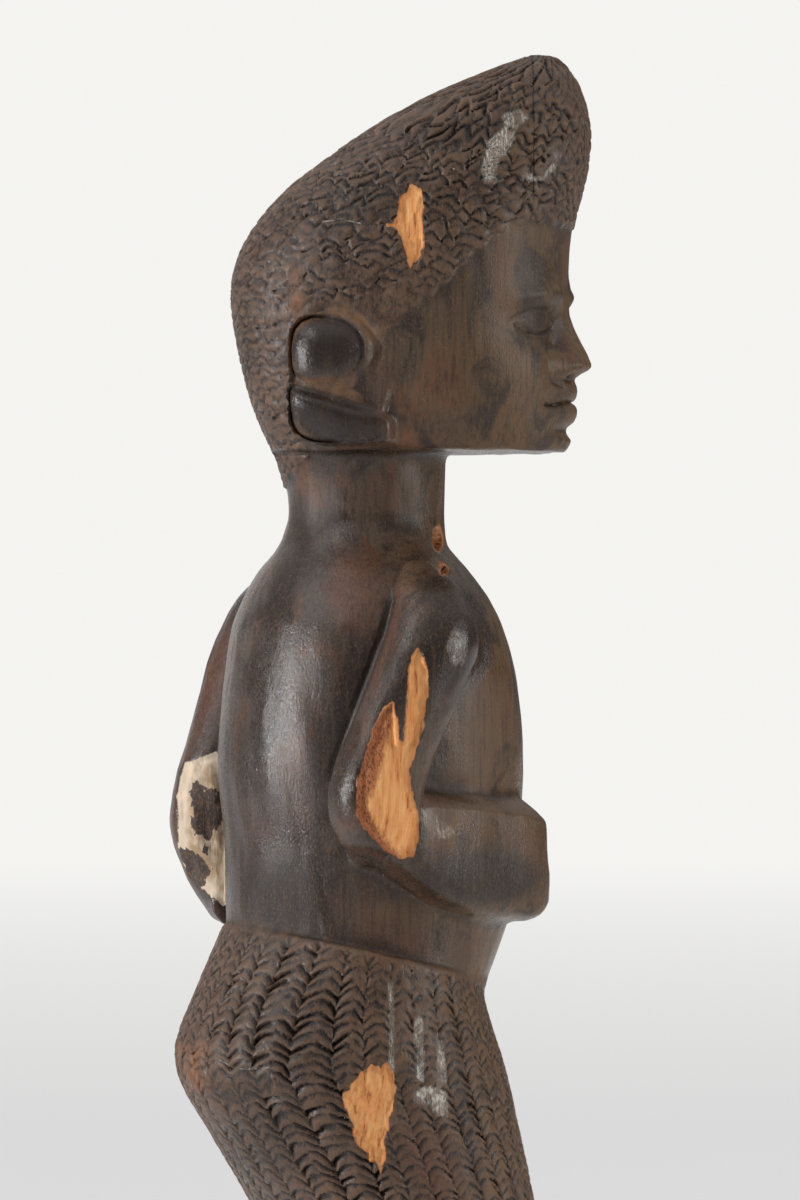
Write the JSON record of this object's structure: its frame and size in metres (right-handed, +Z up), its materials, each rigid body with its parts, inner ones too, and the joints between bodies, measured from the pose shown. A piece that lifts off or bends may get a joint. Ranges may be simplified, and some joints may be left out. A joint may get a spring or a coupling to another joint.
{
  "type": "carved wooden figure",
  "caption": "Standing figure carved from one block of dark wood, with a tall chip-carved hairstyle, bent arms and a chip-carved wrap, on a low integral base.",
  "frame": {"origin": "middle of the base's flat underside, which rests on the surface", "axes": "+Z up along the figure, the body faces -Y, and the figure's left is +X"},
  "size_m": [0.1059, 0.0955, 0.399],
  "materials": {
    "stained_hardwood": "dark brown-black stain with a worn wax polish, bare orange wood where it is chipped"
  },
  "bodies": {
    "root": {"carved_figure": "stained_hardwood"}
  },
  "joints": []
}
